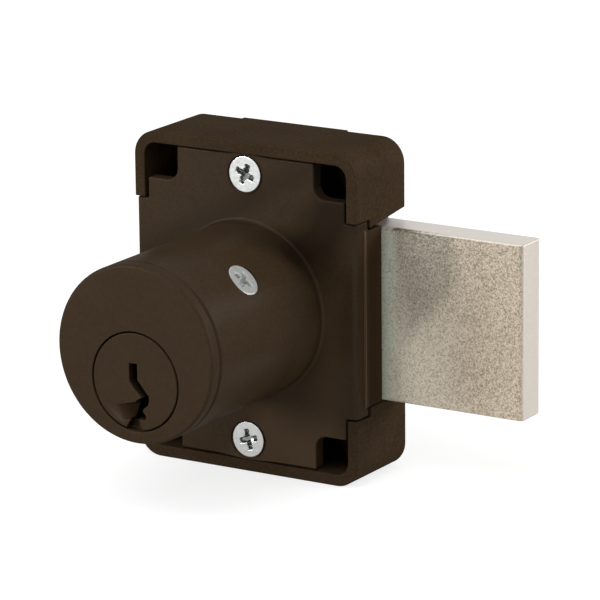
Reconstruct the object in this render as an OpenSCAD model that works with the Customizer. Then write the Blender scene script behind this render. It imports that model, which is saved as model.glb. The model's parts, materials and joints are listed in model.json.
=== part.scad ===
// Surface-mounted cabinet deadbolt: a quarter turn of the key throws a flat bolt out of the case side.
// Millimetres. X is the bolt's throw, Y runs from the key side (-Y) to the back of the case, Z is up.
// Origin: centre of the four mounting holes, on the back face of the case.

/* [Case] */
// Width of the case
case_w = 41.3; // [39:0.1:48]
// Height of the case
case_h = 54; // [52:0.1:62]
// Depth of the case, from the rim to the back face
case_d = 15; // [14.8:0.1:20]
// Outer corner radius of the case
case_corner_r = 4; // [3:0.1:6]
// Thickness of the rim
rim_t = 1.9; // [1.5:0.1:2.4]
// Thickness of the back wall
back_t = 1.2; // [1:0.1:1.8]
// Width of the raised pad down the back
pad_w = 19.6; // [12:0.1:24]
// Height of the raised pad above the back face
pad_t = 0.8; // [0.4:0.1:1.5]

/* [Mounting holes] */
// Distance of a mounting hole from the case's side
mount_edge_x = 4.75; // [4.2:0.05:5]
// Distance of a mounting hole from the case's top or bottom
mount_edge_z = 4.8; // [4.2:0.05:5.2]
// Radius of the mounting holes
mount_hole_r = 2.25; // [1.6:0.05:2.4]
// Wall of the boss round a mounting hole
mount_boss_wall = 1.65; // [1.2:0.05:2]
// Height of a mounting boss above the inside of the back wall
mount_boss_l = 4.8; // [2:0.1:6]

/* [Cover] */
// Thickness of the cover plate
plate_t = 2.4; // [2:0.1:3]
// How far the plate's face lies behind the rim
plate_recess = 0.3; // [0:0.05:1]
// Gap between the plate and the rim at each side
plate_gap_x = 0.45; // [0.1:0.05:0.8]
// Gap between the plate and the rim at top and bottom
plate_gap_z = 0.2; // [0.1:0.05:0.5]
// Room beside a mounting hole in the plate's corner notch
notch_side = 3.2; // [2.6:0.1:3.6]
// Room below a mounting hole in the plate's corner notch
notch_foot = 2.9; // [2.6:0.1:3.4]
// Radius inside a corner notch
notch_r = 2; // [1:0.1:2.4]
// How far a tab reaches past the bolt, at top and bottom
tab_lap = 1.65; // [1.5:0.05:2]
// Thickness of a tab
tab_t = 3.7; // [3:0.1:4.5]
// How far the right tab's outer face lies inside the rim's outer face
right_tab_inset = 0.3; // [0.1:0.05:0.8]
// How far the left tab's outer face lies inside the rim's outer face
left_tab_inset = 0.05; // [0:0.05:0.8]
// Rounding of a tab's front edge
tab_round = 0.8; // [0.4:0.1:1.2]
// Gap around a tab in its slot
tab_gap = 0.2; // [0.1:0.05:0.4]
// Width of the guide ribs that hold the bolt back
rib_t = 2; // [1.2:0.1:2.3]
// How far the right rib's outer face lies inside the rim's outer face
rib_inset = 0.05; // [0:0.05:1]
// Gap between the right rib's lower end and the bolt's opening
rib_end_gap = 0.1; // [0.05:0.05:0.2]

/* [Barrel] */
// Radius of the barrel
barrel_r = 14.2; // [13.6:0.05:15]
// Wall of the barrel round the cylinder
barrel_wall = 1.5; // [1.4:0.05:1.7]
// Distance from the rim to the front face of the cylinder
barrel_reach = 31.75; // [30:0.05:45]
// Rounding at the foot of the barrel
barrel_foot_r = 0.5; // [0.3:0.05:1]
// Chamfer on each side of the seam behind the cylinder's head
seam_chamfer = 0.4; // [0.2:0.05:0.6]

/* [Cylinder] */
// Thickness of the cylinder's head
head_t = 2.35; // [1.8:0.05:3]
// Rounding of the head's front edge
head_round = 0.5; // [0.3:0.05:0.8]
// Gap between the cylinder body and the barrel's bore
body_gap = 0.1; // [0.05:0.05:0.2]
// How far the plug's axis lies below the barrel's axis
plug_drop = 4.3; // [4:0.05:4.6]

/* [Plug] */
// Radius of the plug's face
plug_face_r = 7.7; // [7:0.05:7.8]
// Thickness of the plug's face
plug_face_t = 1.55; // [1:0.05:1.6]
// Radius of the plug
plug_r = 6.35; // [6:0.05:6.5]
// Gap round the plug's face
plug_face_gap = 0.25; // [0.1:0.05:0.3]
// Running clearance of the plug in its bore
plug_fit = 0.05; // [0.02:0.01:0.1]
// Length of the keyway, from the plug's face
keyway_l = 31; // [28:0.5:32]
// Radius of the plug's tail
tail_r = 2.6; // [2.3:0.05:3]
// Distance between the two flats of the tail
tail_flats = 3.6; // [3.2:0.05:4]

/* [Pins and springs] */
// Distance from the cylinder's face to the first chamber
pin_first = 6.6; // [5.5:0.05:7]
// Distance from one chamber to the next
pin_pitch = 3.9; // [3.6:0.05:4.1]
// Radius of the pins
pin_r = 1.44; // [1.2:0.01:1.5]
// Running clearance of a pin in its chamber
pin_fit = 0.06; // [0.03:0.01:0.1]
// How far the chambers reach below the plug's axis
chamber_depth = 1; // [0.5:0.1:1.5]
// Length of a key pin's pointed end
pin_tip_l = 0.8; // [0.4:0.1:1.2]
// Radius of a key pin's point
pin_tip_r = 0.74; // [0.4:0.02:1]
// Height of the bevel round a key pin's top
pin_bevel_l = 0.15; // [0.1:0.05:0.3]
// Width of the bevel round a key pin's top
pin_bevel_w = 0.35; // [0.3:0.05:0.6]
// How far a key pin's top lies below the top of the plug
pin_top_gap = 0.1; // [0.08:0.01:0.2]
// Length of the driver pins
driver_l = 4; // [3.2:0.1:4.6]
// Bevel round a driver pin's top
driver_bevel = 0.3; // [0.2:0.05:0.5]
// Gap between a spring and its chamber
spring_side_gap = 0.18; // [0.1:0.01:0.3]
// Wire radius of the pin springs
spring_wire_r = 0.15; // [0.12:0.01:0.2]
// Turns in a pin spring
spring_turns = 6; // [4:1:7]
// Width of the cap strip over the chambers
cap_w = 4; // [3.6:0.1:5]
// Thickness of the cap strip at its middle
cap_t = 1.7; // [1.4:0.1:2]
// Gap around the cap strip
cap_gap = 0.05; // [0.02:0.01:0.1]

/* [Cam] */
// Swing radius of the cam's pin
cam_radius = 17.68; // [17.2:0.02:18]
// Angle of the cam's arm from vertical with the bolt out
cam_angle = 45; // [44.5:0.1:45.5]
// Gap between the cam and the bolt
cam_gap = 0.65; // [0.4:0.05:0.9]
// Thickness of the cam
cam_t = 2.2; // [1.8:0.1:2.4]
// Radius of the cam's hub
cam_hub_r = 5.5; // [4.8:0.1:6]
// Radius of the cam's tip
cam_tip_r = 3.2; // [2.6:0.1:3.4]
// Radius of the cam's pin
cam_pin_r = 1.5; // [1.2:0.05:1.8]
// Radius of the pin's riveted end in the cam
cam_rivet_r = 1.1; // [0.8:0.05:1.1]
// Gap between the end of the cam's pin and the plane of the bolt's back
cam_pin_gap = 0.35; // [0.2:0.05:1]
// Thickness of the washer between cylinder and cam
washer_t = 0.8; // [0.5:0.1:1]
// Radius of the washer
washer_r = 7.4; // [7:0.1:8]

/* [Bolt] */
// How far the bolt stands out of the case
bolt_reach = 25.2; // [22:0.1:26]
// Gap between the bolt's tail and the case with the bolt drawn in
tail_gap = 0.2; // [0.1:0.05:0.5]
// Height of the bolt
bolt_h = 28.4; // [27:0.1:29]
// Thickness of the bolt
bolt_t = 5.8; // [5:0.1:6.2]
// Gap above and below the bolt in its guides
bolt_gap = 0.15; // [0.1:0.05:0.2]
// Gap behind the bolt
bolt_back_gap = 0.05; // [0.02:0.01:0.1]
// Gap between the bolt's front face and the guide ribs
rib_gap = 0.15; // [0.1:0.05:0.3]
// Rounding of the upright edges at the bolt's end
bolt_round = 0.8; // [0.4:0.05:1.2]
// Width of the notch that the cam's pin works in
bolt_notch_w = 4.6; // [4.5:0.1:5.2]
// Gap under the cam's pin in the notch
bolt_notch_gap = 0.4; // [0.2:0.1:0.8]
// Thickness of the guide rails above and below the bolt
rail_t = 1.6; // [1.2:0.1:2]
// Half width left free between the guide rails for the cam
rail_break = 7.5; // [7:0.1:8]
// Gap above the bolt in its opening in the case side, behind the tab
exit_gap = 0.45; // [0.3:0.05:0.8]
// How much higher the opening is at the back
exit_flare = 1.35; // [0.5:0.05:1.4]
// Gap below the bolt in its opening
exit_drop = 0.3; // [0.2:0.05:0.5]
// How far the opening cuts into the back wall
exit_cut = 3; // [2:0.1:3.5]

/* [Screws] */
// Distance of a cover screw from the case's top or bottom
cover_screw_edge = 5.2; // [4.8:0.1:5.4]
// Radius of a cover screw's head
cover_head_r = 3.05; // [2.8:0.05:3.2]
// Radius of a cover screw's thread
cover_thread_r = 1.7; // [1.5:0.05:1.75]
// Length of a cover screw
cover_screw_l = 10.4; // [8:0.1:11]
// Wall of the boss round a cover screw
cover_boss_wall = 1.75; // [1.6:0.05:2]
// Radius of the set screw's head
set_head_r = 2.8; // [2.6:0.05:3]
// Radius of the set screw's thread
set_thread_r = 1.5; // [1.3:0.05:1.6]
// Angle of the set screw from the top of the barrel
set_angle = 46.3; // [40:0.1:50]
// Distance of the set screw from the rim
set_y = 16.35; // [14:0.05:18]
// How far the set screw's head lies below the barrel's surface
set_sink = 0.2; // [0.15:0.05:0.4]
// How deep the set screw reaches into the cylinder body
set_reach = 3; // [2:0.1:3.4]
// Radius of the cam screw's head
cam_head_r = 4; // [3.6:0.1:4.4]
// Depth of the cam screw's head
cam_head_depth = 1.25; // [1:0.05:1.5]
// Radius of the cam screw's thread
cam_thread_r = 1.2; // [1:0.05:1.3]
// Length of the cam screw's thread in the plug
cam_thread_l = 4.4; // [3:0.1:4.6]
// Clearance of a screw in its hole
screw_fit = 0.05; // [0.03:0.01:0.08]
// Arm length of the cross recess in the cover screws and the set screw
cross_l = 2.9; // [2.4:0.1:3.2]
// Arm width of the cross recess
cross_w = 0.75; // [0.6:0.05:0.9]
// Depth of the cross recess
cross_d = 1.1; // [0.8:0.1:1.2]
// Turn of the upper cover screw's recess
upper_turn = -24; // [-45:1:45]
// Turn of the lower cover screw's recess
lower_turn = 15; // [-45:1:45]
// Turn of the set screw's recess
set_turn = 30; // [-45:1:45]

/* [Hidden] */
$fn = 64;
eps = 0.01;
over = 1;
seat = 0.05;

bronze = [0.25, 0.2, 0.155];
bare_zinc = [0.7, 0.64, 0.56];
bright_zinc = [0.82, 0.82, 0.8];
brass = [0.78, 0.62, 0.32];
steel = [0.6, 0.61, 0.62];

// Planes along Y, from the back of the case to the face of the cylinder
floor_y = -back_t;
bolt_back_y = floor_y - bolt_back_gap;
bolt_y = bolt_back_y - bolt_t;
rib_y = bolt_y - rib_gap;
cam_back_y = bolt_y - cam_gap;
cam_y = cam_back_y - cam_t;
washer_y = cam_y - seat - washer_t;
body_back_y = washer_y - seat;
tail_end_y = cam_back_y - cam_head_depth;
rim_y = -case_d;
plate_y = rim_y + plate_recess;
plate_back_y = plate_y + plate_t;
tab_back_y = plate_y + tab_t;
face_y = rim_y - barrel_reach;
head_y = face_y + head_t;

// Inside of the rim, outline of the plate and the bolt's opening
inner_w = case_w - 2 * rim_t;
inner_h = case_h - 2 * rim_t;
inner_corner_r = case_corner_r - rim_t;
plate_w = inner_w - 2 * plate_gap_x;
plate_h = inner_h - 2 * plate_gap_z;
mount_x = case_w - 2 * mount_edge_x;
mount_z = case_h - 2 * mount_edge_z;
mount_boss_r = mount_hole_r + mount_boss_wall;
notch_x = mount_x / 2 - notch_side;
notch_z = mount_z / 2 - notch_foot;
exit_top_z = bolt_h / 2 + exit_gap;
exit_low_z = -bolt_h / 2 - exit_drop;
tab_h = bolt_h + 2 * tab_lap;
rib_x = case_w / 2 - rib_inset;
rib_h = -2 * (exit_low_z + rib_end_gap);
cover_screw_z = case_h / 2 - cover_screw_edge;
cover_boss_r = cover_thread_r + cover_boss_wall;

// Cylinder, plug, pins and springs
barrel_bore_r = barrel_r - barrel_wall;
pin_count = 5;
pin_lengths = [4.2, 5.4, 4.8, 6, 5.1];
body_r = barrel_bore_r - body_gap;
plug_z = -plug_drop;
shear_z = plug_z + plug_r;
chamber_r = pin_r + pin_fit;
chamber_floor_z = plug_z - chamber_depth;
cap_z = body_r - cap_t;
driver_z = shear_z + plug_fit;
spring_r = chamber_r - spring_side_gap - spring_wire_r;
set_top_r = barrel_r - set_sink;

// Where the cam's pin and the bolt stand with the bolt out
cam_pin_x = cam_radius * sin(cam_angle);
cam_pin_z = plug_z + cam_radius * cos(cam_angle);
throw = 2 * cam_pin_x;
bolt_end_x = case_w / 2 + bolt_reach;
bolt_tail_x = -inner_w / 2 + tail_gap + throw;

// Keyway in the plug's face, from the plug's axis: down the left side and up the right
keyway_outline = [[-1.1, 2.85], [-1.1, 0.3], [-0.9, -0.2], [-0.2, -1.1], [1.3, -2.3], [0.2, -2.95],
    [-0.2, -4.6], [-0.7, -5.8], [-1.6, -7.1], [-1.6, -9], [1.1, -9], [1.1, -7.2], [0.5, -5.85],
    [1.83, -5.87], [1.85, -5.25], [1.25, -4.5], [1.5, -4.1], [2.3, -3.4], [2.5, -2.6], [2.4, -1.95],
    [1.7, -1.2], [0.4, 0.35], [0.35, 2.9]];
// Scoop beside the keyway's mouth: its outline on the face, and its deep edge along the keyway
scoop_outline = [[-3.5, -4.1], [0.4, -3.1], [-0.1, -5.6], [-2.4, -6.4]];
scoop_edge = [[0.4, -3.2], [0.1, -3.3], [-0.5, -5.5], [-0.1, -5.5]];
scoop_d = 1.1;

function pin_y(i) = face_y + pin_first + i * pin_pitch;

module along_y(y0, y1) {
    translate([0, y1, 0]) rotate([90, 0, 0]) linear_extrude(y1 - y0) children();
}

module along_x(x0, x1) {
    translate([x0, 0, 0]) rotate([90, 0, 90]) linear_extrude(x1 - x0) children();
}

module rod_y(r, y0, y1, x = 0, z = 0) {
    translate([x, y1, z]) rotate([90, 0, 0]) cylinder(r = r, h = y1 - y0);
}

module cone_y(r0, r1, y0, y1, x = 0, z = 0) {
    translate([x, y1, z]) rotate([90, 0, 0]) cylinder(r1 = r1, r2 = r0, h = y1 - y0);
}

module turned_y(y0, z = 0) {
    translate([0, y0, z]) rotate([-90, 0, 0]) rotate_extrude() children();
}

module rounded_rect(w, h, r) {
    square([w - 2 * r, h], center = true);
    square([w, h - 2 * r], center = true);
    for (sx = [-1, 1], sy = [-1, 1])
        translate([sx * (w / 2 - r), sy * (h / 2 - r)]) circle(r = r);
}

module outside_corner(r) {
    difference() {
        square(r + eps);
        circle(r = r);
    }
}

module four_ways(x, z) {
    for (sx = [-1, 1], sz = [-1, 1]) translate([sx * x, 0, sz * z]) children();
}

module box(x0, x1, y0, y1, z0, z1) {
    translate([x0, y0, z0]) cube([x1 - x0, y1 - y0, z1 - z0]);
}

module exit_outline() {
    polygon([[tab_back_y, exit_low_z], [over, exit_low_z], [over, exit_top_z + exit_flare],
        [tab_back_y, exit_top_z]]);
}

module cross_recess(turn) {
    rotate([0, 0, turn]) {
        translate([-cross_l / 2, -cross_w / 2, -cross_d]) cube([cross_l, cross_w, cross_d + over]);
        translate([-cross_w / 2, -cross_l / 2, -cross_d]) cube([cross_w, cross_l, cross_d + over]);
    }
}

module case() {
    color(bronze) difference() {
        union() {
            difference() {
                along_y(rim_y, 0) rounded_rect(case_w, case_h, case_corner_r);
                along_y(rim_y - over, floor_y) rounded_rect(inner_w, inner_h, inner_corner_r);
            }
            box(-pad_w / 2, pad_w / 2, -eps, pad_t, -case_h / 2, case_h / 2);
            intersection() {
                four_ways(mount_x / 2, mount_z / 2)
                    rod_y(mount_boss_r, floor_y - mount_boss_l, floor_y + eps);
                along_y(rim_y, 0)
                    rounded_rect(case_w - rim_t, case_h - rim_t, case_corner_r - rim_t / 2);
            }
            for (s = [-1, 1])
                rod_y(cover_boss_r, plate_back_y, floor_y + eps, 0, s * cover_screw_z);
            guide_rails();
        }
        four_ways(mount_x / 2, mount_z / 2) rod_y(mount_hole_r, floor_y - mount_boss_l - over, over);
        for (s = [-1, 1])
            rod_y(cover_thread_r + screw_fit, plate_back_y - over, floor_y - over, 0, s * cover_screw_z);
        for (m = [0, 1]) mirror([m, 0, 0])
            box(inner_w / 2 - eps, case_w / 2 + over, rim_y - over, tab_back_y + tab_gap,
                -tab_h / 2 - tab_gap, tab_h / 2 + tab_gap);
        along_x(case_w / 2 - exit_cut, case_w / 2 + over) exit_outline();
    }
}

module guide_rails() {
    for (s = [-1, 1], side = [-1, 1]) {
        z0 = s > 0 ? bolt_h / 2 + bolt_gap : -bolt_h / 2 - bolt_gap - rail_t;
        x0 = side > 0 ? rail_break : -inner_w / 2 - eps;
        x1 = side > 0 ? case_w / 2 - exit_cut : -rail_break;
        box(x0, x1, bolt_y, floor_y + eps, z0, z0 + rail_t);
    }
}

module plate_outline() {
    difference() {
        square([plate_w, plate_h], center = true);
        for (sx = [-1, 1], sy = [-1, 1]) scale([sx, sy]) corner_notch();
    }
}

module corner_notch() {
    translate([notch_x + notch_r, notch_z]) square([plate_w, plate_h]);
    translate([notch_x, notch_z + notch_r]) square([plate_w, plate_h]);
    translate([notch_x + notch_r, notch_z + notch_r]) circle(r = notch_r);
}

module tab_outline(tab_x) {
    difference() {
        translate([plate_w / 2 - eps, plate_y]) square([tab_x - plate_w / 2 + eps, tab_t]);
        translate([tab_x - tab_round, plate_y + tab_round]) mirror([0, 1]) outside_corner(tab_round);
    }
}

module tabs() {
    translate([0, 0, -tab_h / 2]) linear_extrude(tab_h) {
        tab_outline(case_w / 2 - right_tab_inset);
        mirror([1, 0]) tab_outline(case_w / 2 - left_tab_inset);
    }
}

module guide_ribs() {
    box(rib_x - rib_t, rib_x, plate_back_y - eps, rib_y, -rib_h / 2, rib_h / 2);
    box(plate_w / 2 - rib_t, rib_x, plate_back_y - eps, tab_back_y, -rib_h / 2, rib_h / 2);
    box(-plate_w / 2, -plate_w / 2 + rib_t, plate_back_y - eps, rib_y, -rib_h / 2, rib_h / 2);
}

module barrel_outside() {
    rod_y(barrel_r, head_y, plate_back_y);
    turned_y(plate_y - barrel_foot_r) difference() {
        square([barrel_r + barrel_foot_r, barrel_foot_r + eps]);
        translate([barrel_r + barrel_foot_r, 0]) circle(r = barrel_foot_r);
    }
}

module on_set_screw() {
    translate([0, rim_y - set_y, 0]) rotate([0, set_angle, 0]) children();
}

module set_screw_hole() {
    on_set_screw() {
        translate([0, 0, body_r - set_reach - screw_fit])
            cylinder(r = set_thread_r + screw_fit, h = barrel_r);
        translate([0, 0, set_top_r - set_head_r + set_thread_r])
            cylinder(r1 = set_thread_r + screw_fit, r2 = set_head_r + screw_fit,
                h = set_head_r - set_thread_r);
        translate([0, 0, set_top_r - eps]) cylinder(r = set_head_r + screw_fit, h = over);
    }
}

module cover_and_barrel() {
    color(bronze) difference() {
        union() {
            along_y(plate_y, plate_back_y) plate_outline();
            tabs();
            guide_ribs();
            barrel_outside();
        }
        rod_y(barrel_bore_r, head_y - over, plate_back_y + over);
        turned_y(head_y) polygon([[barrel_r - seam_chamfer, 0], [barrel_r + over, -eps],
            [barrel_r + over, seam_chamfer], [barrel_r, seam_chamfer]]);
        for (s = [-1, 1]) {
            rod_y(cover_thread_r + screw_fit, plate_y - over, plate_back_y + over, 0, s * cover_screw_z);
            cone_y(cover_head_r + screw_fit, cover_thread_r + screw_fit, plate_y,
                plate_y + cover_head_r - cover_thread_r, 0, s * cover_screw_z);
            rod_y(cover_head_r + screw_fit, plate_y - over, plate_y + eps, 0, s * cover_screw_z);
        }
        set_screw_hole();
    }
}

module cover_screw(turn) {
    difference() {
        union() {
            cone_y(cover_head_r, cover_thread_r, plate_y, plate_y + cover_head_r - cover_thread_r);
            rod_y(cover_thread_r, plate_y + cover_head_r - cover_thread_r - eps, plate_y + cover_screw_l);
        }
        translate([0, plate_y, 0]) rotate([90, 0, 0]) cross_recess(turn);
    }
}

module cover_screws() {
    color(bright_zinc) {
        translate([0, 0, cover_screw_z]) cover_screw(upper_turn);
        translate([0, 0, -cover_screw_z]) cover_screw(lower_turn);
    }
}

module bolt_outline() {
    difference() {
        translate([bolt_tail_x, bolt_y]) square([bolt_end_x - bolt_tail_x, bolt_t]);
        translate([bolt_end_x - bolt_round, bolt_y + bolt_round]) mirror([0, 1]) outside_corner(bolt_round);
        translate([bolt_end_x - bolt_round, bolt_back_y - bolt_round]) outside_corner(bolt_round);
    }
}

module bolt() {
    color(bare_zinc) difference() {
        translate([0, 0, -bolt_h / 2]) linear_extrude(bolt_h) bolt_outline();
        box(cam_pin_x - bolt_notch_w / 2, cam_pin_x + bolt_notch_w / 2, bolt_y - over, bolt_back_y + over,
            cam_pin_z - cam_pin_r - bolt_notch_gap, bolt_h / 2 + over);
    }
}

module cylinder_body() {
    color(bronze) difference() {
        union() {
            turned_y(face_y) difference() {
                square([barrel_r, head_t]);
                translate([barrel_r - head_round, head_round]) mirror([0, 1]) outside_corner(head_round);
                polygon([[barrel_r - seam_chamfer, head_t], [barrel_r + over, head_t + eps],
                    [barrel_r + over, head_t - seam_chamfer], [barrel_r, head_t - seam_chamfer]]);
            }
            rod_y(body_r, head_y - eps, body_back_y);
        }
        rod_y(plug_r + plug_fit, face_y - over, body_back_y + over, 0, plug_z);
        rod_y(plug_face_r + plug_face_gap, face_y - over, face_y + plug_face_t + seat, 0, plug_z);
        for (i = [0:pin_count - 1])
            translate([0, pin_y(i), plug_z]) cylinder(r = chamber_r, h = body_r - plug_z);
        cap_block(cap_gap);
        set_screw_hole();
    }
}

module cap_block(gap) {
    box(-cap_w / 2 - gap, cap_w / 2 + gap, pin_y(0) - pin_pitch / 2 - gap,
        pin_y(pin_count - 1) + pin_pitch / 2 + gap, cap_z, body_r + over);
}

module chamber_cap() {
    color(brass) intersection() {
        cap_block(0);
        rod_y(body_r, face_y, body_back_y);
    }
}

module cylinder_set_screw() {
    color(bright_zinc) on_set_screw() difference() {
        union() {
            translate([0, 0, set_top_r - set_head_r + set_thread_r])
                cylinder(r1 = set_thread_r, r2 = set_head_r, h = set_head_r - set_thread_r);
            translate([0, 0, body_r - set_reach])
                cylinder(r = set_thread_r,
                    h = set_top_r - body_r + set_reach - set_head_r + set_thread_r + eps);
        }
        translate([0, 0, set_top_r]) cross_recess(set_turn);
    }
}

module tail_outline(gap) {
    intersection() {
        circle(r = tail_r + gap);
        square([2 * tail_r + over, tail_flats + 2 * gap], center = true);
    }
}

module scoop() {
    hull() {
        along_y(face_y - eps, face_y) polygon(scoop_outline);
        along_y(face_y + scoop_d - eps, face_y + scoop_d) polygon(scoop_edge);
    }
}

module plug() {
    color(bronze) difference() {
        union() {
            rod_y(plug_face_r, face_y, face_y + plug_face_t, 0, plug_z);
            rod_y(plug_r, face_y + plug_face_t - eps, body_back_y, 0, plug_z);
            translate([0, 0, plug_z]) along_y(body_back_y - eps, tail_end_y) tail_outline(0);
        }
        translate([0, 0, plug_z]) {
            along_y(face_y - over, face_y + keyway_l) polygon(keyway_outline);
            scoop();
        }
        for (i = [0:pin_count - 1]) translate([0, pin_y(i), chamber_floor_z])
            cylinder(r = chamber_r, h = plug_r + chamber_depth + over);
        rod_y(cam_thread_r + screw_fit, tail_end_y - cam_thread_l - seat, tail_end_y + over, 0, plug_z);
    }
}

module cam_washer() {
    color(steel) translate([0, 0, plug_z]) along_y(washer_y, washer_y + washer_t) difference() {
        circle(r = washer_r);
        tail_outline(seat);
    }
}

module at_cam_pin() {
    translate([cam_pin_x, 0, cam_pin_z]) children();
}

module cam_outline() {
    circle(r = cam_hub_r);
    rotate(90 - cam_angle) {
        translate([cam_radius, 0]) circle(r = cam_tip_r);
        translate([0, -cam_tip_r]) square([cam_radius, 2 * cam_tip_r]);
    }
}

module cam() {
    color(steel) difference() {
        translate([0, 0, plug_z]) along_y(cam_y, cam_back_y) difference() {
            cam_outline();
            tail_outline(seat);
        }
        at_cam_pin() rod_y(cam_rivet_r + screw_fit, cam_y - over, cam_back_y + over);
        cone_y(tail_r, cam_head_r + screw_fit, tail_end_y, cam_back_y + eps, 0, plug_z);
    }
}

module cam_pin() {
    color(steel) at_cam_pin() {
        rod_y(cam_pin_r, cam_back_y, bolt_back_y - cam_pin_gap);
        rod_y(cam_rivet_r, cam_y, cam_back_y + eps);
    }
}

module cam_screw() {
    color(bright_zinc) difference() {
        union() {
            cone_y(tail_r - screw_fit, cam_head_r, tail_end_y + seat, cam_back_y, 0, plug_z);
            rod_y(cam_thread_r, tail_end_y - cam_thread_l, tail_end_y + seat + eps, 0, plug_z);
        }
        translate([0, cam_back_y, plug_z]) rotate([-90, 0, 0]) cross_recess(0);
    }
}

module bottom_pin(i) {
    l = pin_lengths[i];
    color(brass) translate([0, pin_y(i), shear_z - pin_top_gap - l]) rotate_extrude()
        polygon([[0, 0], [pin_tip_r, 0], [pin_r, pin_tip_l], [pin_r, l - pin_bevel_l],
            [pin_r - pin_bevel_w, l], [0, l]]);
}

module driver_pin(i) {
    color(brass) translate([0, pin_y(i), driver_z]) rotate_extrude()
        polygon([[0, 0], [pin_r, 0], [pin_r, driver_l - driver_bevel],
            [pin_r - driver_bevel, driver_l], [0, driver_l]]);
}

// One unbroken tube: rings of points along a helix, joined side to side
spring_sides = 6;
spring_rings_per_turn = 8;
spring_bottom_z = driver_z + driver_l + seat + spring_wire_r;
spring_top_z = cap_z - seat - spring_wire_r;
spring_rings = spring_turns * spring_rings_per_turn;

function spring_centre(k) = let (a = 360 * k / spring_rings_per_turn)
    [spring_r * cos(a), spring_r * sin(a),
     spring_bottom_z + (spring_top_z - spring_bottom_z) * k / spring_rings];

function spring_ring(k) = let (a = 360 * k / spring_rings_per_turn, c = spring_centre(k))
    [for (s = [0:spring_sides - 1]) let (b = 360 * s / spring_sides)
        [c[0] + spring_wire_r * cos(b) * cos(a), c[1] + spring_wire_r * cos(b) * sin(a),
         c[2] + spring_wire_r * sin(b)]];

spring_points = [for (k = [0:spring_rings]) each spring_ring(k)];
spring_faces = concat(
    [[for (s = [0:spring_sides - 1]) s]],
    [for (k = [0:spring_rings - 1], s = [0:spring_sides - 1], half = [0, 1])
        let (a = k * spring_sides + s, b = k * spring_sides + (s + 1) % spring_sides)
        half == 0 ? [a, a + spring_sides, b] : [b, a + spring_sides, b + spring_sides]],
    [[for (s = [spring_sides - 1:-1:0]) spring_rings * spring_sides + s]]);
echo("least gap between spring turns",
    (spring_top_z - spring_bottom_z) / spring_turns - 2 * spring_wire_r);

module pin_spring(i) {
    color(steel) translate([0, pin_y(i), 0]) polyhedron(points = spring_points, faces = spring_faces);
}

case();
cover_and_barrel();
cover_screws();
bolt();
cylinder_body();
chamber_cap();
cylinder_set_screw();
plug();
cam_washer();
cam();
cam_pin();
cam_screw();
bottom_pin(0);  // bottom_pin_1
bottom_pin(1);  // bottom_pin_2
bottom_pin(2);  // bottom_pin_3
bottom_pin(3);  // bottom_pin_4
bottom_pin(4);  // bottom_pin_5
driver_pin(0);  // driver_pin_1
driver_pin(1);  // driver_pin_2
driver_pin(2);  // driver_pin_3
driver_pin(3);  // driver_pin_4
driver_pin(4);  // driver_pin_5
pin_spring(0);  // pin_spring_1
pin_spring(1);  // pin_spring_2
pin_spring(2);  // pin_spring_3
pin_spring(3);  // pin_spring_4
pin_spring(4);  // pin_spring_5
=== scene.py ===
import json
import math

import bmesh
import bpy
import numpy as np
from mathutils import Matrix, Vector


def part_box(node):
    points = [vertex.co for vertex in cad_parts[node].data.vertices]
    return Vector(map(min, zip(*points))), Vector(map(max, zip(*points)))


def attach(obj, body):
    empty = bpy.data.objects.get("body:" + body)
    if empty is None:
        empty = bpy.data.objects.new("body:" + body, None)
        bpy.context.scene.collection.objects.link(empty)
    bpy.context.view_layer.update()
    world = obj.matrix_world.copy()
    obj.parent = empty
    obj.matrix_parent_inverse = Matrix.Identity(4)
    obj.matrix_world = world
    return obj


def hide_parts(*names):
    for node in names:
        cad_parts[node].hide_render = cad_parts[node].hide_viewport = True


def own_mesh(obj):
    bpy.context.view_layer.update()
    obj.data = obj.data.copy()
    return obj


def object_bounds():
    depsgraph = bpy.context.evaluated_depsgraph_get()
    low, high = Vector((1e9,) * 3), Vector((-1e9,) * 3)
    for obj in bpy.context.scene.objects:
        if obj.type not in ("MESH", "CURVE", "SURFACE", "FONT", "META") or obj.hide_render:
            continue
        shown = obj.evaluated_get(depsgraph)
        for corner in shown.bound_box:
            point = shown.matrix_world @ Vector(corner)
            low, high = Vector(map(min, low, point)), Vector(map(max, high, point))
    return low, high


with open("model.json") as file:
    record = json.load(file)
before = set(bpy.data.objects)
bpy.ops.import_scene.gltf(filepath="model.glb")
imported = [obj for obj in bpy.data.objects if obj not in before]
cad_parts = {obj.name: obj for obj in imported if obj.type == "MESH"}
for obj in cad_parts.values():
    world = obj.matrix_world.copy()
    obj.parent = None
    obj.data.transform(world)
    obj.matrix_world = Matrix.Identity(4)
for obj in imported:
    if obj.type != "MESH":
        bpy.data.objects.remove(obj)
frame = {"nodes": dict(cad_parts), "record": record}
cad_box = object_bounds()
nodes = frame["nodes"]


# Camera: a long lens from the right front, a little above the lock. The lock stands on the lower edge
# of its case.
def placed(name, data):
    """An object that holds the data, put into the scene."""
    thing = bpy.data.objects.new(name, data)
    bpy.context.scene.collection.objects.link(thing)
    return thing


camera = placed("camera", bpy.data.cameras.new("camera"))
camera.location = (0.36131, -0.58204, 0.17921)
camera.rotation_euler = [math.radians(turn) for turn in (75.1757, 0.5557, 31.6178)]
camera.data.sensor_width = 36
camera.data.lens = 262.78
camera.data.clip_start = 0.02
bpy.context.scene.camera = camera


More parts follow.
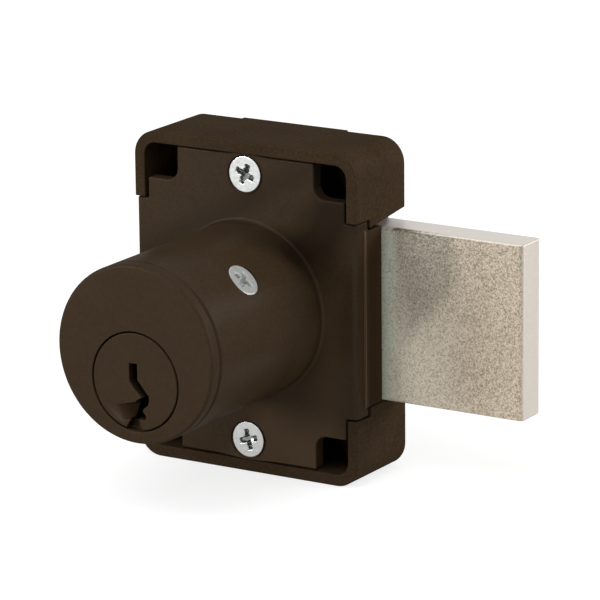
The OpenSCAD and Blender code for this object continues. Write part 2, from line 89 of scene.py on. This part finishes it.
# Case: a die-cast tray that holds the bolt, painted dark bronze. Casting leaves its edges a little
# round, and the thin paint keeps the casting's fine grain.
class Wire:
    """A shader socket. A sum, difference, product or power of wires and numbers adds its Math node."""

    def __init__(self, shading, socket):
        self.shading = shading
        self.socket = socket

    def __add__(self, other):
        return self.shading.maths("ADD", self, other)

    def __sub__(self, other):
        return self.shading.maths("SUBTRACT", self, other)

    def __rsub__(self, other):
        return self.shading.maths("SUBTRACT", other, self)

    def __mul__(self, other):
        return self.shading.maths("MULTIPLY", self, other)

    def __pow__(self, other):
        return self.shading.maths("POWER", self, other)

    __radd__ = __add__
    __rmul__ = __mul__


class Shading:
    """The nodes that shade a surface or the room."""

    def __init__(self, tree):
        self.tree = tree

    def add(self, kind, settings=(), inputs=(), output=0):
        """A node of a kind: its settings first, then the values or wires of its sockets."""
        node = self.tree.nodes.new(kind)
        for key, value in dict(settings).items():
            setattr(node, key, value)
        for key, value in dict(inputs).items():
            self.join(value, node.inputs[key])
        return Wire(self, node.outputs[output])

    def join(self, value, socket):
        """Leads a wire into a socket, or gives the socket a plain value. A colour is its three parts."""
        if isinstance(value, Wire):
            self.tree.links.new(value.socket, socket)
        else:
            socket.default_value = (*value, 1) if socket.type == "RGBA" else value

    def maths(self, operation, a, b):
        return self.add("ShaderNodeMath", {"operation": operation}, {0: a, 1: b})

    def clamp(self, value, low, high):
        """0 below low, 1 above high, and a straight slope between."""
        return self.add("ShaderNodeMapRange", {"clamp": True},
                        {"Value": value, "From Min": low, "From Max": high})

    def mix(self, amount, a, b):
        """Colour a at 0, colour b at 1."""
        return self.add("ShaderNodeMix", {"data_type": "RGBA"}, {0: amount, 6: a, 7: b}, 2)


class Finish(Shading):
    """A finish for a surface: one material, whose Principled shader gets its plain values here."""

    def __init__(self, name, **plain):
        self.material = bpy.data.materials.new(name)
        self.material.use_nodes = True
        super().__init__(self.material.node_tree)
        self.shader = self.tree.nodes["Principled BSDF"]
        for key, value in plain.items():
            self.join(value, self.shader.inputs[key.replace("_", " ")])
        self.place = self.add("ShaderNodeTexCoord", output="Object")

    def noise(self, size, detail, rough, seed=0.0, stretch=(1, 1, 1)):
        """Cloudy noise around 0.5, with lumps of a size in metres. Each seed reads another part of it."""
        at = self.add("ShaderNodeMapping", {},
                      {"Vector": self.place, "Location": (seed, seed * 1.7, -seed), "Scale": stretch})
        return self.add("ShaderNodeTexNoise", {},
                        {"Vector": at, "Scale": 1 / size, "Detail": detail, "Roughness": rough})

    def along(self, axis):
        """The distance along a direction, in metres from the origin."""
        return self.add("ShaderNodeVectorMath", {"operation": "DOT_PRODUCT"},
                        {0: self.place, 1: axis}, "Value")

    def within(self, slopes, waver=0.0):
        """The product of several slopes, each a direction with the distances where it starts and ends. Waver,
        in metres, moves them to and fro."""
        share = 1.0
        for axis, start, end in slopes:
            share = self.clamp(self.along(axis) + waver, start, end) * share
        return share

    def coat(self, colour, rough, height, depth):
        """Joins the colour, the roughness and a bump whose full height is depth metres."""
        self.join(colour, self.shader.inputs["Base Color"])
        self.join(rough, self.shader.inputs["Roughness"])
        bump = self.add("ShaderNodeBump", {}, {"Height": height, "Strength": 1, "Distance": depth})
        self.join(bump, self.shader.inputs["Normal"])


def toned(colour, tone):
    """The colour, darker where tone is below 1 and lighter where it is above."""
    return tuple(part * tone for part in colour)


def bronze_paint(name, grain, depth, contrast, gloss=0.03, polish=0.4, shade=(), shade_tone=1.0, light_and_shade_patches=()):
    """Dark bronze paint: brown clouds and specks, with a grain of a size and a depth in metres. Gloss is the
    share of its clear top film and polish that film's roughness. Each patch, of painted light or painted
    shade, is slopes, a tone and how far its border wavers in metres, and where the paint passes all its
    slopes, it has that tone. Where it passes every slope of shade, it is as dark as shade_tone says and has
    lost that film."""
    dark_bronze, light_bronze = (0.0392, 0.0240, 0.0128), (0.0530, 0.0342, 0.0194)
    painted_patch_bronze, shade_bronze = (0.046, 0.029, 0.016), (0.044, 0.027, 0.0147)
    spread = 0.14 / contrast
    paint = Finish(name, Metallic=0.0, Specular_IOR_Level=0.0, Coat_Weight=gloss, Coat_Roughness=polish)
    clouds = paint.noise(0.009, detail=3, rough=0.6)
    specks = paint.noise(grain, detail=2, rough=0.65, seed=0.3)
    peel = paint.noise(3.5 * grain, detail=1, rough=0.5, seed=0.7)
    tone = paint.clamp(clouds * 0.35 + specks * 0.65, 0.5 - spread, 0.5 + spread)
    colour = paint.mix(tone, dark_bronze, light_bronze)
    for slopes, patch_tone, waver in light_and_shade_patches:
        there = paint.within(slopes, waver * (clouds - 0.5))
        colour = paint.mix(there, colour, toned(painted_patch_bronze, patch_tone))
    if shade:
        deep = paint.within(shade)
        colour = paint.mix(deep ** 0.6, colour, toned(shade_bronze, shade_tone))
        paint.join(gloss * (1 - deep) ** 12, paint.shader.inputs["Coat Weight"])
    paint.coat(colour, 0.42 + 0.16 * specks, specks * 0.65 + peel * 0.35, depth)
    return paint


def softened(node, name, edge, chosen, finish, body="lock_case", mend=None):
    """A piece from a node's mesh: doubles merged, mended where a mend is given, flat faces joined, and each
    sharp edge rounded by the share of edge that chosen gives for its ends, the smaller of the two."""
    double_gap, flat_angle, sharp_angle = 0.000001, math.radians(0.05), 0.5
    mesh = nodes[node].data.copy()
    solid = bmesh.new()
    solid.from_mesh(mesh)
    bmesh.ops.remove_doubles(solid, verts=solid.verts, dist=double_gap)
    if mend:
        mend(solid)
    bmesh.ops.dissolve_limit(solid, angle_limit=flat_angle, verts=solid.verts, edges=solid.edges)
    weight = solid.edges.layers.float.new("bevel_weight_edge")
    for line in solid.edges:
        sharp = line.calc_face_angle(0) > sharp_angle
        line.smooth = not sharp
        line[weight] = float(sharp * min(chosen(end.co) for end in line.verts))
    for face in solid.faces:
        face.smooth = True
    solid.to_mesh(mesh)
    solid.free()
    mesh.materials.clear()
    mesh.materials.append(finish.material)
    piece = placed(name, mesh)
    bevel = piece.modifiers.new("rounded edges", "BEVEL")
    bevel.width, bevel.segments, bevel.limit_method = edge, 3, "WEIGHT"
    bevel.use_clamp_overlap = False
    bevel.harden_normals = True
    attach(piece, body)
    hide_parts(node)


case_paint = bronze_paint("cast_bronze_paint", grain=0.0005, depth=0.00012, contrast=1.5)
softened("case", "case_shell", edge=0.0002, chosen=lambda at: True, finish=case_paint)


# Cover with its barrel: one casting that closes the tray, holds the bolt back with its ribs, and carries
# the cylinder. Its barrel is machined before it is painted. In the bolt's opening the paint is dull.
plate_y = -0.0147


def turned_foot(solid):
    """The hollow round the barrel's foot, turned afresh: rings from the plate to the barrel, each a step
    further round a quarter circle, in place of the slivers of the node's mesh."""
    barrel, hollow, steps, near = 0.0142, 0.0005, 8, 0.00001
    ends = np.array(solid.verts)
    x, y, z = np.array([end.co for end in solid.verts]).T
    radius = np.hypot(x, z)
    out, back = barrel + hollow - radius, plate_y - hollow - y
    on_hollow = (np.abs(np.hypot(out, back) - hollow) < 2 * near) & (out > -near) & (back < near)
    rim = on_hollow & (out < near)
    around = np.sort(np.arctan2(z[rim], x[rim]))
    slivers = set(ends[on_hollow])
    bmesh.ops.delete(solid, geom=[face for face in solid.faces if slivers.issuperset(face.verts)],
                     context="FACES")
    step, around = np.meshgrid(np.linspace(0, math.pi / 2, steps + 1)[:-1], around, indexing="ij")
    radius = barrel + hollow - hollow * np.sin(step)
    place = np.stack([radius * np.cos(around), plate_y - hollow + hollow * np.cos(step),
                      radius * np.sin(around)], axis=-1)
    here = np.arange(step.size).reshape(step.shape)
    after = np.roll(here, -1, axis=1)
    faces = np.stack([here[:-1], after[:-1], after[1:], here[1:]], axis=-1).reshape(-1, 4)
    rings = bpy.data.meshes.new("rings of the foot")
    rings.from_pydata(place.reshape(-1, 3).tolist(), [], faces.tolist())
    solid.from_mesh(rings)
    bmesh.ops.remove_doubles(solid, verts=solid.verts, dist=0.3 * near)
    bmesh.ops.bridge_loops(solid, edges=[line for line in solid.edges if line.is_boundary])
    bmesh.ops.recalc_face_normals(solid, faces=solid.faces)


def uphill(degrees):
    """The direction in the plate's face that points so far up from the right."""
    return math.cos(math.radians(degrees)), 0, math.sin(math.radians(degrees))


# Over the right of the barrel's foot the paint is painted darker, less so over its left: painted shade. Under
# the foot it is painted lighter: painted light. The ledge at the plate's right is painted bright: a painted
# highlight. Each slope is a direction, its start and its end.
front, back, left, right = (0, -1, 0), (0, 1, 0), (-1, 0, 0), (1, 0, 0)
painted_shade_right_of_foot = [(uphill(45), 0.0095, 0.0125), (uphill(-45), -0.0062, -0.0015), (uphill(135), -0.0062, -0.0015),
             ((-0.3, 1, 0.3), -0.0215, -0.0175)]
painted_shade_over_foot = [(uphill(120), 0.012, 0.0145), (uphill(-60), -0.019, -0.015), (back, -0.0165, -0.0152)]
painted_light_under_foot = [(uphill(-35), 0.0095, 0.0125), (back, -0.0225, -0.016), (left, -0.0185, -0.0145)]
painted_highlight_on_ledge = [(right, 0.0204, 0.0205), (front, 0.01185, 0.012), (back, -0.0128, -0.0126)]
in_the_opening = [(right, 0.02036, 0.02045), (back, -0.0112, -0.011)]
cover_paint = bronze_paint("cover_bronze_paint", grain=0.00045, depth=0.00003, contrast=0.8, gloss=0.1,
                           polish=0.3, shade=in_the_opening, shade_tone=1.1,
                           light_and_shade_patches=[(painted_shade_right_of_foot, 0.48, 0.006), (painted_shade_over_foot, 0.7, 0.006),
                                    (painted_light_under_foot, 1.52, 0.006), (painted_highlight_on_ledge, 3, 0)])
softened("cover_and_barrel", "cover_casting", edge=0.00025, chosen=lambda at: at.y > plate_y - 0.0002,
         finish=cover_paint, mend=turned_foot)


# Cylinder: turned from brass and painted with the case. Its head covers the front of the barrel, and its
# plug turns in an off-centre bore. Inside the keyway the plug's paint is painted darker with depth, down to
# black, and loses its clear film: painted shade.
face_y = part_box("plug")[0].y
plug_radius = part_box("plug")[1].x
plug_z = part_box("plug")[1].z - plug_radius
# Painted shade: the deeper in the keyway, the darker the plug's colour.
painted_shade_in_keyway = [(back, face_y + 0.00003, face_y + 0.0025)]
smooth_coat = {"grain": 0.0005, "depth": 0.00002, "contrast": 0.5, "gloss": 0.08, "polish": 0.3}


def at_face(at):
    """Half the edge on the cylinder's face, but all of it round the seam of the plug, and none elsewhere."""
    on_face = at.y < face_y + 0.00001
    by_seam = abs(math.hypot(at.x, at.z - plug_z) - plug_radius) < 0.0001
    return on_face * (1.0 if by_seam else 0.5)


cylinder_paint = bronze_paint("cylinder_bronze_paint", **smooth_coat)
plug_paint = bronze_paint("plug_bronze_paint", **smooth_coat, shade=painted_shade_in_keyway, shade_tone=0.08)
softened("cylinder_body", "cylinder_shell", edge=0.0002, chosen=at_face, finish=cylinder_paint)
softened("plug", "plug_core", edge=0.0002, chosen=at_face, finish=plug_paint, body="plug")


# Bolt: a bare bar of cast metal, dull and mottled. Its end and its top are painted lighter: painted light.
# Near the case it is stained by the grease in its guides, and that part is painted paler to lift the case's
# shadow: partly stain, partly painted light.
bar_low, bar_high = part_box("bolt")
cast_metal = Finish("bare_cast_metal", Metallic=0.45)
clouds = cast_metal.noise(0.006, detail=3, rough=0.55)
blots = cast_metal.noise(0.0009, detail=2, rough=0.6, seed=0.2)
coarse_grain = cast_metal.noise(0.00027, detail=1, rough=0.5, seed=0.4)
fine_grain = cast_metal.noise(0.00022, detail=1, rough=0.5, seed=0.9)
grain = 0.65 * coarse_grain + 0.65 * fine_grain - 0.15
tone = cast_metal.clamp(clouds * 0.06 + blots * 0.14 + grain * 0.76 + 0.02, 0.34, 0.62)
colour = cast_metal.mix(tone, (0.275, 0.222, 0.158), (0.67, 0.57, 0.435))

# On its front near the case the bar is painted paler: painted light over the case's shadow and its dark
# reflection. Right at the opening the grease's greenish stain is painted paler still: partly stain, partly
# painted light. Its upper part is painted darker, and a darker band across its upper left is a painted
# reflection of the dark case.
outward, inward = cast_metal.along(right), cast_metal.along(left)
on_front = cast_metal.clamp(cast_metal.along(front), 0.0045, 0.0065)
# Painted light: paler near the case, over the case's shadow.
painted_light_near_case = cast_metal.clamp(inward + 0.003 * clouds, -0.036, -0.0205)
colour = cast_metal.mix(painted_light_near_case * on_front * (1.9 * grain - 0.2), colour, (0.85, 0.78, 0.64))
# Painted shade: darker above, and a painted reflection of the dark case across the upper left.
painted_shade_above = cast_metal.clamp(cast_metal.along((-0.12, 0, 1)) + 0.002 * clouds, -0.004, 0.010)
painted_shade_band = cast_metal.clamp(cast_metal.along((-1, 0, 1)) + 0.003 * clouds, -0.0283, -0.0253) \
    * cast_metal.clamp(inward + 0.002 * clouds, -0.034, -0.0318) * cast_metal.clamp(outward, 0.0235, 0.0262)
painted_shade_share = (painted_shade_above * 0.2 + painted_shade_band * on_front * 0.37) * (1.45 - 0.9 * grain)
colour = cast_metal.mix(painted_shade_share, colour, (0.14, 0.13, 0.105))
# Partly a greasy stain, partly painted light over the case's shadow.
stain_and_painted_light = cast_metal.clamp(inward + 0.002 * clouds + 0.0016 * blots, -0.0217, -0.0199)
colour = cast_metal.mix(stain_and_painted_light * on_front * (1.8 * grain), colour, (0.93, 0.98, 0.82))

# The top and the end are painted lighter: painted light. The front's upper edge has a few dark pits.
painted_light_on_top = cast_metal.clamp(cast_metal.along((0, 0, 1)), bar_high.z - 0.0003, bar_high.z - 0.0001)
colour = cast_metal.mix(painted_light_on_top, colour, cast_metal.mix(grain, (0.60, 0.555, 0.50), (0.74, 0.69, 0.63)))
painted_light_on_end = cast_metal.clamp(outward, bar_high.x - 0.0003, bar_high.x - 0.0001)
colour = cast_metal.mix(painted_light_on_end, colour, cast_metal.mix(grain, (0.50, 0.455, 0.395), (0.64, 0.58, 0.51)))
edge_way = 0.7071 * (bar_high.z - bar_low.y)
on_edge = cast_metal.clamp(cast_metal.along((0, -0.7071, 0.7071)), edge_way - 0.0005, edge_way - 0.0002)
pits = on_edge * cast_metal.clamp(inward, -0.033, -0.025) * cast_metal.clamp(blots, 0.4, 0.6)
colour = cast_metal.mix(pits * 0.9, colour, (0.12, 0.085, 0.045))
cast_metal.coat(colour, 0.3 + 0.14 * grain, grain * 0.75 + blots * 0.25, 0.00005)
softened("bolt", "bolt_bar", edge=0.0003, chosen=lambda at: at.x > 0, finish=cast_metal, body="bolt")


# Screws: turned steel with bright zinc plating, and a cross recess punched in the head. Two countersunk
# ones hold the cover and a smaller one locks the cylinder in the barrel.
def ring_faces(shape):
    """For a grid of closed rings: the number of each point, that of the next point round its ring, and the
    faces, each from two neighbours on a ring to the same two on the next."""
    here = np.arange(shape[0] * shape[1]).reshape(shape)
    after = np.roll(here, -1, axis=1)
    faces = np.stack([here[:-1], here[1:], after[1:], after[:-1]], axis=-1).reshape(-1, 4)
    return here, after, faces.tolist()


def surface(name, place, faces, finish):
    """A piece of points and faces in a finish, smooth all over but for faces of more than four corners."""
    mesh = bpy.data.meshes.new(name)
    mesh.from_pydata(place.reshape(-1, 3).tolist(), [], faces)
    mesh.polygons.foreach_set("use_smooth", [len(face) < 5 for face in faces])
    mesh.materials.append(finish.material)
    return placed(name, mesh)


def zinc_plating(name, outward, level, shade_tone, metal=1.0):
    """Bright zinc with painted shade in the recess, from level downwards along outward."""
    zinc = Finish(name, Metallic=metal)
    dapple = zinc.noise(0.0007, detail=3, rough=0.6)
    # Painted shade: the deeper in the recess, the darker.
    painted_recess_shade = zinc.clamp(zinc.along(tuple(-part for part in outward)), 0.00008 - level, 0.0004 - level)
    plated = zinc.mix(dapple, (0.42, 0.43, 0.42), (0.60, 0.61, 0.595))
    colour = zinc.mix(painted_recess_shade, plated, toned((0.16, 0.165, 0.16), shade_tone))
    zinc.coat(colour, 0.17 + 0.1 * dapple, dapple, 0.00002)
    return zinc


def screw_profile(head, thread, length):
    """A screw's share of the way round, its radius and its depth, from the middle of its face over the worn
    edge, the cone under the head and the shank to the middle of its end."""
    return np.array([(0, 0, 0), (0.62, 0.93 * head, 0), (0.66, 0.985 * head, 0.00004),
                     (0.68, 0.998 * head, 0.0001), (0.7, head, 0.00016), (0.72, head - 0.0001, 0.0003),
                     (0.85, thread, head - thread), (0.98, thread, length), (1, 0, length)]).T


def screw(name, face, right, up, turn, profile, finish):
    """A screw as one closed surface of rings and turns, whose radius and depth follow its profile. The recess
    sinks the face alone: deepest at the middle, and less along each of four wings, which grow narrower and
    end in a slope at the length of an arm. A fine wave in two directions wears the wings' sides."""
    arm, wing, recess, side_slope, end_slope = 0.00175, 0.0005, 0.0012, 0.00018, 0.0003
    wear, waves_across, waves_up = 0.00009, 7000, 6000
    share, turns = np.meshgrid(np.linspace(0, 1, 80)[1:-1], np.linspace(0, 2 * math.pi, 128, endpoint=False),
                               indexing="ij")
    ways, radii, depths = profile
    radius, depth = np.interp(share, ways, radii), np.interp(share, ways, depths)
    across, upward = radius * np.cos(turns), radius * np.sin(turns)
    a, b = np.abs(radius * np.cos(turns - turn)), np.abs(radius * np.sin(turns - turn))
    length = np.maximum(a, b)
    breadth = np.minimum(a, b) + wear * np.sin(waves_across * across + 1) * np.sin(waves_up * upward + 2)
    inside = np.clip((wing * (1.15 - 0.3 * length / arm) - breadth) / side_slope, 0, 1) \
        * np.clip((arm - length) / end_slope, 0, 1)
    depth = depth + inside * recess * (1 - 0.55 * length / arm) * (share < ways[1])
    face, right, up = np.array(face), np.array(right), np.array(up)
    inward = -np.cross(right, up)
    place = face + across[..., None] * right + upward[..., None] * up + depth[..., None] * inward
    ends = [face + recess * inward, face + depths[-1] * inward]
    here, after, faces = ring_faces(radius.shape)
    first, last = radius.size, radius.size + 1
    faces += [[first, m, n] for m, n in zip(here[0].tolist(), after[0].tolist())]
    faces += [[last, n, m] for m, n in zip(here[-1].tolist(), after[-1].tolist())]
    piece = surface(name, np.concatenate([place.reshape(-1, 3), ends]), faces, finish)
    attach(piece, "lock_case")
    return piece


cover_low, cover_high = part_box("cover_screws")
cover_head = 0.00305
cover_profile = screw_profile(cover_head, thread=0.0017, length=cover_high.y - cover_low.y)
cover_zinc = zinc_plating("bright_zinc_plating", (0, -1, 0), -cover_low.y, shade_tone=1.5)
upper = screw("upper_cover_screw", (0, cover_low.y, cover_high.z - cover_head), (1, 0, 0), (0, 0, 1),
              math.radians(-24), cover_profile, cover_zinc)
lower = screw("lower_cover_screw", (0, cover_low.y, cover_low.z + cover_head), (1, 0, 0), (0, 0, 1),
              math.radians(15), cover_profile, cover_zinc)
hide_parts("cover_screws")
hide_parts("cover_screws")

slant, set_level = math.radians(46.3), 0.014
set_low, set_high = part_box("cylinder_set_screw")
set_out = (math.sin(slant), 0, math.cos(slant))
set_face = np.array((0, (set_low.y + set_high.y) / 2, 0)) + set_level * np.array(set_out)
set_profile = screw_profile(head=0.0028, thread=0.0015, length=0.0043)
set_zinc = zinc_plating("set_screw_zinc_plating", set_out, set_level, shade_tone=2.4, metal=0.25)
set_screw = screw("set_screw", set_face, (math.cos(slant), 0, -math.sin(slant)), (0, 1, 0),
                  math.radians(30), set_profile, set_zinc)
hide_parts("cylinder_set_screw")


# Pins and the strip over their chambers: turned and rolled brass, left plain. They are hidden in the
# cylinder, where the strip closes the tops of the chambers.
def dress(start, finish):
    """Gives a finish to all the nodes whose names start so."""
    for name, node in nodes.items():
        if name.startswith(start):
            node.data.materials.clear()
            node.data.materials.append(finish.material)


brass = Finish("turned_brass", Metallic=1.0)
haze = brass.noise(0.0008, detail=3, rough=0.6)
brass.coat(brass.mix(haze, (0.56, 0.38, 0.14), (0.74, 0.55, 0.24)), 0.28 + 0.15 * haze, haze, 0.00002)
dress("chamber_cap", brass)
dress("bottom_pin", brass)
dress("driver_pin", brass)


# Cam, its pin and washer: plain steel, dull from rolling. A zinc-plated screw holds the cam and the washer
# on the plug's tail.
steel = Finish("dull_steel", Metallic=1.0)
scale = steel.noise(0.0012, detail=4, rough=0.6)
steel.coat(steel.mix(scale, (0.34, 0.34, 0.35), (0.50, 0.50, 0.49)), 0.36 + 0.2 * scale, scale, 0.00003)
cam_zinc = zinc_plating("cam_screw_zinc_plating", (0, 1, 0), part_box("cam_screw")[1].y, shade_tone=0.55)
dress("cam", steel)
dress("cam_screw", cam_zinc)


# Pin springs: wound from steel wire. Each stands on a driver pin in its chamber, under the strip. In the lock
# the pin shortens it on its way up; here it is drawn at one length.
def coil_spring(name, low, high, wire, turns, finish):
    """A wire wound upright in a box: its middle line goes round the box's middle at an even climb, and every
    ring is a circle of the wire's radius, upright, round a point of that line."""
    along, side = np.meshgrid(np.linspace(0, 1, 24 * turns + 1),
                              np.linspace(0, 2 * math.pi, 12, endpoint=False), indexing="ij")
    angle = 2 * math.pi * turns * along
    radius = (high.x - low.x) / 2 - wire + wire * np.cos(side)
    place = np.stack([(low.x + high.x) / 2 + radius * np.cos(angle),
                      (low.y + high.y) / 2 + radius * np.sin(angle),
                      low.z + wire + (high.z - low.z - 2 * wire) * along + wire * np.sin(side)], axis=-1)
    here, _, faces = ring_faces(side.shape)
    return surface(name, place, faces + [here[0].tolist(), here[-1, ::-1].tolist()], finish)


spring_wire = Finish("drawn_spring_wire", Metallic=1.0)
streaks = spring_wire.noise(0.0003, detail=3, rough=0.6, stretch=(1, 1, 4))
spring_wire.coat(spring_wire.mix(streaks, (0.40, 0.40, 0.41), (0.58, 0.58, 0.57)), 0.26 + 0.16 * streaks,
                 streaks, 0.00001)
for joint in frame["record"]["behaviour"]["joints"]:
    if joint["child"].startswith("driver_pin"):
        node = joint["child"].replace("driver_pin", "pin_spring")
        low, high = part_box(node)
        spring = coil_spring(node.replace("pin_spring", "coiled_spring"), low, high, wire=0.00015, turns=6,
                             finish=spring_wire)
        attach(spring, "lock_case")
        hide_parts(node)
        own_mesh(spring)


# Studio: a white floor under the lower edge of the case, a white room, and four soft round lamps that shine
# at the middle of the lock. Each lamp has its place, its size across and its power.
middle = np.array((0, -0.02, 0))
lamps = {"lamp_left": ((-0.42, -0.6, 0.1), 0.24, 2.4), "lamp_right": ((0.6, 0.24, 0.12), 0.3, 2.1),
         "lamp_behind": ((0.35, 0.575, 0.2), 0.4, 0.7), "lamp_above": ((0, -0.35, 0.6), 0.5, 1.7)}
for name, (place, size, power) in lamps.items():
    light = bpy.data.lights.new(name, "AREA")
    light.shape, light.size, light.energy = "DISK", size, power
    x, y, z = middle - np.array(place)
    lamp = placed(name, light)
    lamp.location = place
    lamp.rotation_euler = (math.atan2(math.hypot(x, y), -z), 0, math.atan2(y, x) - math.pi / 2)


def seen_plainly(shading):
    """1 for the camera and for what metal and glass show of the background, 0 for what lights the lock."""
    paths = ("Is Camera Ray", "Is Glossy Ray", "Is Transmission Ray")
    return shading.clamp(sum(shading.add("ShaderNodeLightPath", output=path) for path in paths), 0, 1)


# The floor is grey to the light and white to the camera, so it keeps the lock's shadow. The room lights the
# lock with a part of the white that it shows.
floor_z, floor_reach = cad_box[0].z, 3
corners = np.array([(-1, -1, 0), (1, -1, 0), (1, 1, 0), (-1, 1, 0)]) * floor_reach + (0, 0, floor_z)
white = Finish("white_floor", Roughness=0.9, Specular_IOR_Level=0.0, Base_Color=(0.45, 0.45, 0.45),
               Emission_Strength=1.0)
glow = white.mix(seen_plainly(white), (0, 0, 0), (0.75, 0.75, 0.75))
white.join(glow, white.shader.inputs["Emission Color"])
surface("floor", corners, [(0, 1, 2, 3)], white)

room_light = 0.4
room = bpy.data.worlds.new("room")
room.use_nodes = True
bpy.context.scene.world = room
walls = Shading(room.node_tree)
background = room.node_tree.nodes["Background"]
walls.join((1, 1, 1), background.inputs["Color"])
walls.join(room_light + (1 - room_light) * seen_plainly(walls), background.inputs["Strength"])

bpy.context.scene.view_settings.view_transform = "Standard"
